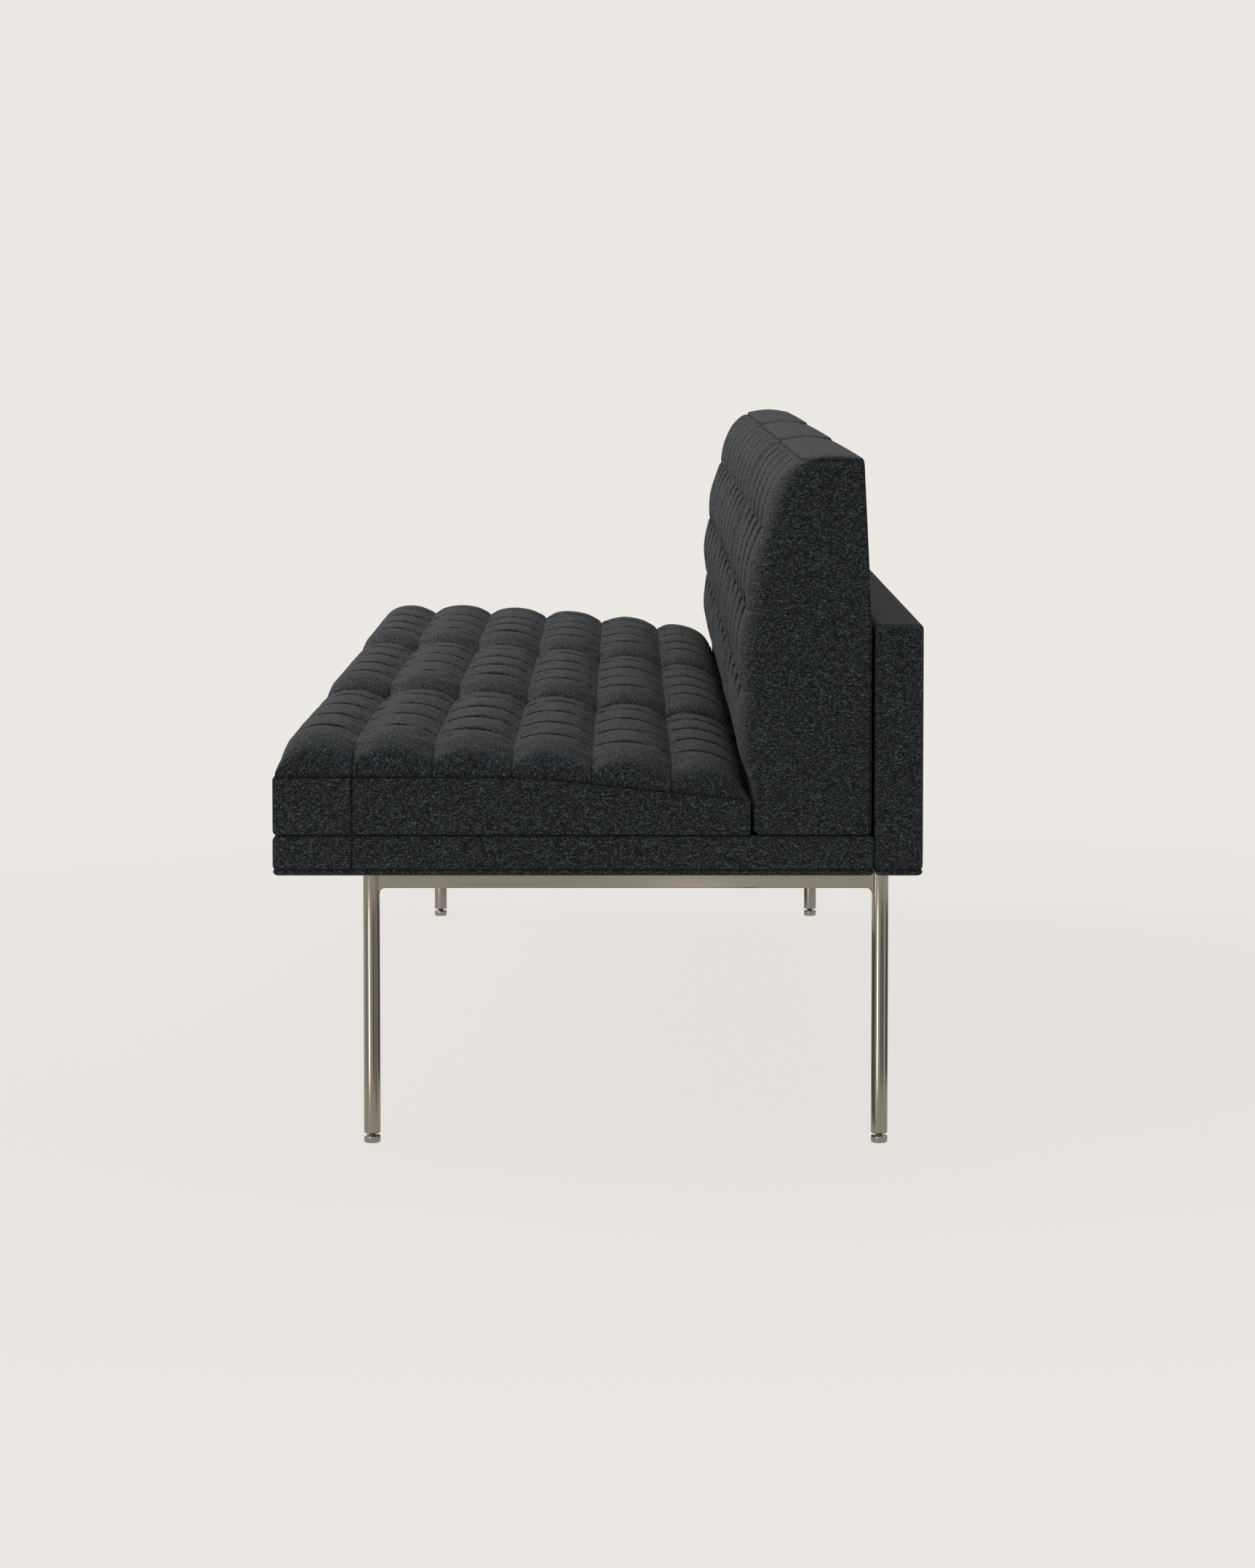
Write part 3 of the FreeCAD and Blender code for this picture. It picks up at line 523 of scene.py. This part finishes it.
def back_skin():
    """Back cushion: face y = sweep(z) - crowns(x, z) swell + end ease - dome(z) and tuck(x); swollen top.

    The sweep is a parabola towards the top, and the ease a quarter ellipse at the ends, deepest at half
    height. The rear is upright behind the rail and leans forward above it, and what the face moves fades
    out towards the rear.
    """
    columns = np.linspace(0, CUSHION_WIDTH, TUFT_COLUMNS + 1)
    seams = BACK_HEIGHT - BACK_TOP_ROW - BACK_ROW_PITCH * np.arange(BACK_ROWS - 1)
    rows = np.concatenate([[0], seams[::-1], [BACK_HEIGHT]])
    skin = Skin(seam_stops(columns, COLUMN_CELLS, COLUMN_GATHER),
                stops(BACK_FOOT, BACK_EDGE, BACK_FOOT_CELLS), seam_stops(rows, ROW_CELLS, ROW_GATHER))
    x, y, z = skin.lattice.T
    side_x = np.minimum(x, CUSHION_WIDTH - x)
    from_top = BACK_HEIGHT - z
    from_seat = z - BACK_CROWN_START
    face = y < TINY
    at_end = side_x < TINY
    at_top = from_top < TINY
    at_rear = y > BACK_FOOT - TINY
    on_rim = (face & (at_top | (z < TINY))) | (at_end & (at_top | at_rear))
    in_column = face & on_line(x, columns[1:-1])
    in_row = face & on_line(z, rows[1:-1])
    p, away = rounded(skin.lattice, (CUSHION_WIDTH, BACK_FOOT, BACK_HEIGHT), BACK_EDGE)
    climb = np.clip(p[:, 2] - BACK_HEIGHT + BACK_SWEEP_HEIGHT, 0, None)
    swept = BACK_SWEEP * (climb / BACK_SWEEP_HEIGHT) ** 2
    above_rail = back_low[2] + p[:, 2] - RAIL_TOP
    lean = BACK_REAR_GAP + BACK_REAR_LEAN * share_of(above_rail, back_low[2] + BACK_HEIGHT - RAIL_TOP)
    p[:, 1] = swept + p[:, 1] / BACK_FOOT * (BACK_FOOT - lean - swept)
    swell = BACK_CROWN * crown(side_x, BACK_CROWN_RUN) * crown(from_top, BACK_CROWN_RUN)
    swell *= crown(from_seat, BACK_CROWN_RUN)
    waist = np.sin(np.pi * share_of(from_seat, BACK_HEIGHT - BACK_CROWN_START))
    ease = BACK_END_EASE + BACK_WAIST_EASE * waist
    ease *= share_of(z - BORDER + BORDER_FALL, BACK_EASE_RISE)
    swell -= ease * (1 - crown(side_x, BACK_END_RUN))
    inner = share_of(side_x, BACK_CROWN_RUN)
    puff = BACK_SWELL * inner * dome(z, rows) + BACK_TUCK * tuck(x, columns[1:-1])
    fade = share_of(side_x, TUFT_FADE) * share_of(from_top, TUFT_FADE) * share_of(from_seat, TUFT_FADE)
    p[:, 1] -= (swell + fade * puff) * (1 - y / BACK_FOOT)
    # Thread pulls the seams in.
    creased = in_column | in_row & (inner > BACK_ROW_START)
    p[:, 1] += CREASE * fade * creased * np.where(in_row, BACK_ROW_CREASE, 1.0)
    bulge = BACK_TOP_SWELL * crown(side_x, BACK_CROWN_RUN) * np.sin(np.pi * y / BACK_FOOT)
    p[at_top, 2] += bulge[at_top]
    p -= THREAD_PULL * away * on_rim[:, None]
    skin.points = p
    skin.seams = [in_column, in_row, on_rim]
    # The seams darken the twill, the rows less: black thread and painted crease shade
    skin.sewn = np.where(in_row, BACK_ROW_THREAD_AND_PAINTED_SHADE * inner, in_column | on_rim)
    skin.held = np.any(skin.seams, axis=0) | ~face | at_end
    return skin


def drift(points, seed):
    """Unevenness of hand-filled cushions: the mean of six slow waves with seeded directions and phases."""
    dice = np.random.default_rng(seed)
    waves = dice.normal(0, 14, (6, 3))
    phases = dice.uniform(0, 2 * np.pi, 6)
    return UNEVENNESS * np.sin(points @ waves.T + phases).mean(axis=1)


def settling(kind, seat, lattice):
    """How far a cushion has sunk at one end: depth * share of its height * (1 - x / width) ^ 2."""
    x, _, z = lattice.T
    if kind == "seat":
        depth = SEAT_SETTLE[seat] * share_of(z, BORDER)
    else:
        depth = BACK_SETTLE * share_of(z - BACK_HEIGHT + BACK_SETTLE_RUN, BACK_SETTLE_RUN)
    return depth * (1 - x / CUSHION_WIDTH) ** 2


def make_cushions():
    """Three seat and three back cushions: each kind is filled once and set in its three places."""
    free = np.inf
    up, forward = (0, 0, 1), (0, -1, 0)
    seat_room = (0, -FRONT_BULGE, 0), (CUSHION_WIDTH, SEAT_DEPTH, free)
    back_room = (0, -free, 0), (CUSHION_WIDTH, free, BACK_HEIGHT + BACK_TOP_SWELL)
    back_front = back_high[1] - BACK_FOOT
    kinds = {
        "seat": (seat_skin, (seat_low[1], seat_low[2]), up, SEAT_FILL_CAP, seat_room),
        "back": (back_skin, (back_front, back_low[2]), forward, BACK_FILL_CAP, back_room),
    }
    for kind, (form, (y, z), outward, cap, room) in kinds.items():
        skin = form()
        filled = pressed(swollen(skin, cap), *room)
        for index, seat in enumerate(SEATS):
            x = SEAT_PITCH * (index - 1) - CUSHION_WIDTH / 2
            points = filled + (x, y, z)
            points[:, 2] -= settling(kind, seat, skin.lattice)
            uneven = drift(points, index) * ~skin.held
            points += uneven[:, None] * outward
            name = f"{kind}_cushion_{seat}"
            cushion = add_upholstery(f"{name}_tufted", skin, points, f"{kind}_{seat}")
            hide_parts(name, f"{kind}_core_{seat}")


def make_cover(name, node, hem, cells, end_seams):
    """Padded cover of a frame: a rounded box with sewn grooves, turned under its frame and open below.

    The skin is the rounded box less groove depth along its outward directions. It is sewn round the foot,
    across between the seats, and down its ends.
    """
    low, high = box_of(node)
    extent = high - low
    across_seams = [SEAT_PITCH, 2 * SEAT_PITCH]
    level_seams = [HEM_STITCH]
    lines = [stops(extent[a], COVER_EDGE, cells[a]) for a in range(3)]
    lines[0] = with_lines(lines[0], [hem, extent[0] - hem, *across_seams], COVER_THREAD)
    lines[1] = with_lines(lines[1], [hem, extent[1] - hem, *end_seams], COVER_THREAD)
    lines[2] = with_lines(lines[2], level_seams, COVER_THREAD)
    skin = Skin(*lines)
    x, y, z = skin.lattice.T
    side_x = np.minimum(x, extent[0] - x)
    side_y = np.minimum(y, extent[1] - y)
    inside_hem = hem + 0.1 * MM
    under = (z < TINY) & (side_x > inside_hem) & (side_y > inside_hem)
    p, away = rounded(skin.lattice, extent, COVER_EDGE)
    sewn = groove(x, across_seams, COVER_THREAD)
    sewn = sewn + (side_x < TINY) * groove(y, end_seams, COVER_THREAD)
    sewn = np.clip(sewn + groove(z, level_seams, COVER_THREAD), 0, 1)
    p -= THREAD_PULL * away * sewn[:, None]
    p[under, 2] = TURNED_UNDER
    # The grooves darken the twill: dark thread and painted shade in the grooves
    skin.sewn = COVER_SEAM_THREAD_AND_PAINTED_SHADE * sewn
    cover = add_upholstery(name, skin, p + low, "sofa")
    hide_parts(node)


def lathe(profile, segments):
    """Points and faces of a profile of (radius, height), turned about Z; it starts and ends on the axis."""
    angle = np.linspace(0, 2 * np.pi, segments, endpoint=False)
    ring = profile[1:-1]
    heights = np.broadcast_to(ring[:, 1:], (len(ring), segments))
    body = np.stack([ring[:, :1] * np.cos(angle), ring[:, :1] * np.sin(angle), heights], axis=-1)
    body = body.reshape(-1, 3)
    points = np.concatenate([body, [[0, 0, profile[0, 1]], [0, 0, profile[-1, 1]]]])
    turn = np.arange(segments)
    after = (turn + 1) % segments
    here = np.arange(len(ring) - 1)[:, None] * segments
    over = here + segments
    quads = np.stack([here + turn, here + after, over + after, over + turn], axis=-1).reshape(-1, 4)
    last = (len(ring) - 1) * segments
    foot = np.stack([np.full(segments, len(body)), after, turn], axis=1)
    head = np.stack([np.full(segments, len(body) + 1), last + turn, last + after], axis=1)
    return points, quads.tolist() + foot.tolist() + head.tolist()


def make_glides():
    """Levelling glides: a turned pad with quarter-round edges on a stem with a sawtooth thread profile."""
    pad_height = 8.5 * MM
    ease = 1.8 * MM
    stem = 4 * MM
    pitch = 1.25 * MM
    thread_depth = 0.45 * MM
    thread_start = 0.3 * MM
    tip_ease = 0.5 * MM
    segments = 40
    for leg in LEGS:
        low, high = box_of(f"glide_{leg}")
        radius = (high[0] - low[0]) / 2
        pad_top = low[2] + pad_height
        arc = np.radians(np.linspace(-90, 0, 6))
        lower = np.stack([radius - ease + ease * np.cos(arc), low[2] + ease + ease * np.sin(arc)], axis=1)
        arc = np.radians(np.linspace(0, 90, 6))
        upper = np.stack([radius - ease + ease * np.cos(arc), pad_top - ease + ease * np.sin(arc)], axis=1)
        turns = np.arange(pad_top + thread_start, high[2] - pitch, pitch / 2)
        thread = np.stack([stem - thread_depth * (np.arange(len(turns)) % 2), turns], axis=1)
        profile = np.concatenate([
            [[0, low[2]]], lower, upper, [[stem, pad_top]], thread,
            [[stem - tip_ease, high[2]], [0, high[2]]],
        ])
        points, faces = lathe(profile, segments)
        points[:, :2] += (low[:2] + high[:2]) / 2
        name = f"glide_{leg}"
        mesh = bpy.data.meshes.new(f"{name}_turned")
        mesh.from_pydata(points.tolist(), [], faces)
        mesh.polygons.foreach_set("use_smooth", np.ones(len(faces), bool))
        mesh.set_sharp_from_angle(angle=math.radians(40))
        mesh.materials.append(STEEL)
        piece = bpy.data.objects.new(f"{name}_turned", mesh)
        scene.collection.objects.link(piece)
        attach(piece, f"foot_{leg}")
        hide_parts(name)


def dress_solids():
    """Finishes for the solids, by their material slots."""
    slots = {s["node"]: s["material_slot"] for s in frame["record"]["subparts"]}
    finish = {"satin_steel": STEEL, "glide": STEEL, "frame_wood": PINE, "upholstery": TWILL, "foam": FOAM,
              "webbing": WEBBING, "dust_cloth": DUST_CLOTH, "plated_steel": ZINC}
    for name, node in frame["nodes"].items():
        material = PLYWOOD if name == "back_panel" else finish[slots[name]]
        node.data.materials.clear()
        node.data.materials.append(material)


def shown_rays(tree):
    """1 for the rays that show the backdrop as it is: from the camera, off metal and through glass."""
    path = add_node(tree, "ShaderNodeLightPath")
    bent = add_node(tree, "ShaderNodeMath", {"operation": "MAXIMUM"},
                    {0: path.outputs["Is Glossy Ray"], 1: path.outputs["Is Transmission Ray"]})
    seen = add_node(tree, "ShaderNodeMath", {"operation": "MAXIMUM"},
                    {0: path.outputs["Is Camera Ray"], 1: bent.outputs[0]})
    return seen.outputs[0]


def add_flat(name, points, material):
    """A flat four-cornered stage piece."""
    mesh = bpy.data.meshes.new(name)
    mesh.from_pydata(points.tolist(), [], [[0, 1, 2, 3]])
    mesh.materials.append(material)
    flat = bpy.data.objects.new(name, mesh)
    scene.collection.objects.link(flat)
    return flat


def make_cards():
    """Upright cards round each leg that show only in the steel: dark flags for its bands and a lit strip."""
    height = 0.222
    away = 0.4
    # Direction in degrees, width in metres and strength of each card
    kinds = {"flag": (32, 0.3, 0.29), "side_flag": (115, 0.5, 0.19),
             "front_flag": (-72, 0.16, 0.36), "strip": (-33, 0.1, 5.5)}
    sides = np.array([[-1, 0], [1, 0], [1, 1], [-1, 1]])
    for kind, (azimuth, width, shine) in kinds.items():
        material, tree, output = new_material(f"studio_{kind}")
        surface = add_node(tree, "ShaderNodeEmission", {"Color": linear("#ffffff"), "Strength": shine})
        tree.links.new(surface.outputs[0], output.inputs["Surface"])
        turn = math.radians(azimuth)
        out = np.array([math.cos(turn), math.sin(turn), 0])
        across = np.array([-out[1], out[0], 0]) * width / 2
        up = np.array([0, 0, height])
        for leg in LEGS:
            low, high = box_of(f"leg_{leg}")
            foot = (low + high) / 2 * (1, 1, 0) + away * out
            card = add_flat(f"{kind}_{leg}", foot + sides[:, :1] * across + sides[:, 1:] * up, material)
            for rays in ("camera", "diffuse", "transmission", "volume_scatter", "shadow"):
                setattr(card, f"visible_{rays}", False)


def make_floor(paper):
    """Pale paper floor: shown at its own brightness, with the sofa's shadow near the sofa."""
    shadow_share = 0.09
    material, tree, output = new_material("studio_paper")
    sheet = add_node(tree, "ShaderNodeBsdfDiffuse", {"Color": paper})
    glow = add_node(tree, "ShaderNodeEmission", {"Color": paper, "Strength": 1.0})
    spot = add_node(tree, "ShaderNodeTexCoord")
    away = add_node(tree, "ShaderNodeVectorMath", {"operation": "LENGTH"}, {0: spot.outputs["Object"]})
    kept = add_node(tree, "ShaderNodeMapRange", {
        "interpolation_type": "SMOOTHSTEP",
        "From Min": 0.9, "From Max": 2.6, "To Min": shadow_share, "To Max": 0.0,
    }, {"Value": away.outputs["Value"]})
    lit = add_node(tree, "ShaderNodeMixShader", {},
                   {0: kept.outputs["Result"], 1: glow.outputs[0], 2: sheet.outputs[0]})
    shown = add_node(tree, "ShaderNodeMixShader", {},
                     {0: shown_rays(tree), 1: sheet.outputs[0], 2: lit.outputs[0]})
    tree.links.new(shown.outputs[0], output.inputs["Surface"])
    reach = 30.0
    add_flat("floor", np.array([[-1, -1, 0], [1, -1, 0], [1, 1, 0], [-1, 1, 0]]) * reach, material)


def make_backdrop(paper):
    """The world: pale paper where it shows, and a dim cool fill light."""
    world = bpy.data.worlds.new("studio")
    world.use_nodes = True
    scene.world = world
    tree = world.node_tree
    tree.nodes.clear()
    output = add_node(tree, "ShaderNodeOutputWorld")
    ambient = add_node(tree, "ShaderNodeBackground", {"Color": linear("#d3dfea"), "Strength": 0.33})
    shown = add_node(tree, "ShaderNodeBackground", {"Color": paper, "Strength": 1.0})
    both = add_node(tree, "ShaderNodeMixShader", {},
                    {0: shown_rays(tree), 1: ambient.outputs[0], 2: shown.outputs[0]})
    tree.links.new(both.outputs[0], output.inputs["Surface"])


def add_soft_light(name, place, target, width, height, power):
    """A rectangular lamp, turned so that it faces its target."""
    data = bpy.data.lights.new(name, "AREA")
    data.shape = "RECTANGLE"
    data.size, data.size_y, data.energy = width, height, power
    lamp = bpy.data.objects.new(name, data)
    lamp.location = place
    away = np.array(place) - np.array(target)
    tilt = math.atan2(math.hypot(away[0], away[1]), away[2])
    lamp.rotation_euler = (tilt, 0, math.atan2(away[1], away[0]) + math.pi / 2)
    scene.collection.objects.link(lamp)


def make_lights():
    """A softbox at the front left, which leaves the right-hand slopes dark, one overhead, and two strips."""
    middle, right_end = (0, 0, 0.4), (0.9, 0, 0.3)
    add_soft_light("front_softbox", (-2.0, -2.5, 2.5), middle, 2.4, 1.8, 64)
    add_soft_light("overhead_softbox", (0.0, 0.4, 3.4), middle, 3.6, 1.6, 11)
    add_soft_light("front_strip", (3.6, -3.2, 1.3), right_end, 0.5, 2.4, 14)
    add_soft_light("rear_strip", (1.5, 3.4, 1.3), right_end, 0.5, 2.4, 10)


def make_camera():
    """The camera off the right end of the sofa, a little above its back and tipped down."""
    tip = 3.867
    camera = bpy.data.cameras.new("camera")
    camera.sensor_width = 36
    camera.sensor_fit = "AUTO"
    camera.lens = 103.3
    camera.shift_x = 0.0021
    camera.shift_y = -0.11
    camera.clip_end = 100
    eye = bpy.data.objects.new("camera", camera)
    eye.location = (6.027, 0.029, 0.948)
    eye.rotation_euler = (math.radians(90 - tip), 0, math.radians(90))
    scene.collection.objects.link(eye)
    scene.camera = eye


dress_solids()
make_cushions()
make_cover("base_padded_cover", "base_cover", 20 * MM, (60, 18, 3), [SEAT_DEPTH / SEAT_ROWS])
make_cover("back_rail_padded_cover", "back_cover", 18 * MM, (60, 3, 10), [])
make_glides()
make_cards()
PAPER = linear("#ece8e3")
make_floor(PAPER)
make_backdrop(PAPER)
make_lights()
make_camera()
scene.view_settings.view_transform = "Standard"
